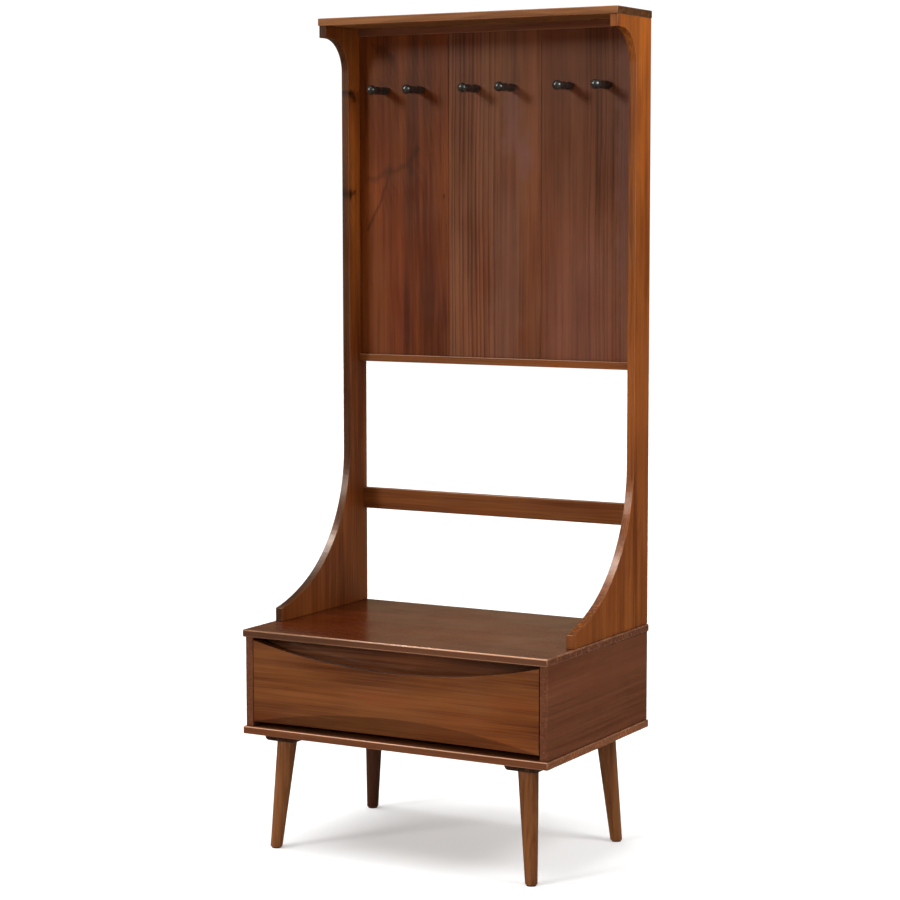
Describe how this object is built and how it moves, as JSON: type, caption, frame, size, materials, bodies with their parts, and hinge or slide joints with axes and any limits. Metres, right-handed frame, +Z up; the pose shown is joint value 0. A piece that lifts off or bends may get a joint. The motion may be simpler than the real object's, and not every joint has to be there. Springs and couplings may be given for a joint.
{
  "type": "hall tree with storage bench",
  "caption": "Tall wooden entryway stand: bench with a scooped drawer on splayed legs, shaped uprights, boarded back with coat pegs and a cap board.",
  "frame": {"origin": "on the floor, midway along the width and the depth of the bench", "axes": "+Z up, +X to the right for someone facing the hooks, -Y towards the front, where the drawer opens"},
  "size_m": [0.75, 0.494, 1.83],
  "materials": {
    "drawer_front_wood": "satin walnut stain on pine, grain lengthwise",
    "board_wood": "satin walnut stain on pine",
    "upright_wood": "satin walnut stain on pine",
    "panel_wood": "satin walnut stain on pine, grain upright",
    "carcass_wood": "satin walnut stain on pine",
    "leg_wood": "satin walnut stain on turned pine",
    "cleat_wood": "satin walnut stain on pine",
    "bronze": "dark oil-rubbed bronze, glossy",
    "zinc_steel": "zinc plated",
    "runner_steel": "zinc plated",
    "dowel_wood": "unfinished beech",
    "glide_nylon": "dark nylon",
    "thin_panel": "stained thin panel",
    "inner_wood": "clear sealed pine"
  },
  "bodies": {
    "hall_tree": {"back_board_left": "panel_wood", "back_board_middle": "panel_wood", "back_board_right": "panel_wood", "bottom_board": "board_wood", "cabinet_back": "thin_panel", "cabinet_runner_screws": "zinc_steel", "cap_board": "board_wood", "cap_dowels": "dowel_wood", "cleat_screws": "zinc_steel", "coat_peg_1": "bronze", "coat_peg_2": "bronze", "coat_peg_3": "bronze", "coat_peg_4": "bronze", "coat_peg_5": "bronze", "coat_peg_6": "bronze", "foot_glides": "glide_nylon", "front_left_leg": "leg_wood", "front_right_leg": "leg_wood", "left_cabinet_runner": "runner_steel", "left_cleat": "cleat_wood", "left_drawer_stop": "inner_wood", "left_side_panel": "carcass_wood", "left_upright": "upright_wood", "leg_bolts": "zinc_steel", "lower_rail": "board_wood", "mid_rail": "board_wood", "panel_dowels": "dowel_wood", "peg_studs": "zinc_steel", "rail_dowels": "dowel_wood", "rear_left_leg": "leg_wood", "rear_right_leg": "leg_wood", "right_cabinet_runner": "runner_steel", "right_cleat": "cleat_wood", "right_drawer_stop": "inner_wood", "right_side_panel": "carcass_wood", "right_upright": "upright_wood", "seat_board": "board_wood", "top_rail": "board_wood", "upright_dowels": "dowel_wood"},
    "drawer": {"drawer_back": "inner_wood", "drawer_bottom": "thin_panel", "drawer_dowels": "dowel_wood", "drawer_front": "drawer_front_wood", "drawer_front_screws": "zinc_steel", "drawer_inner_front": "inner_wood", "drawer_left_side": "inner_wood", "drawer_right_side": "inner_wood", "drawer_runner_screws": "zinc_steel", "front_spacer_left": "inner_wood", "front_spacer_rail": "inner_wood", "front_spacer_right": "inner_wood", "left_drawer_runner": "runner_steel", "right_drawer_runner": "runner_steel"}
  },
  "joints": [
    {"name": "drawer_slide", "type": "slide", "parent": "hall_tree", "child": "drawer", "axis": [0, -1, 0], "range_m": [0, 0.3]}
  ]
}
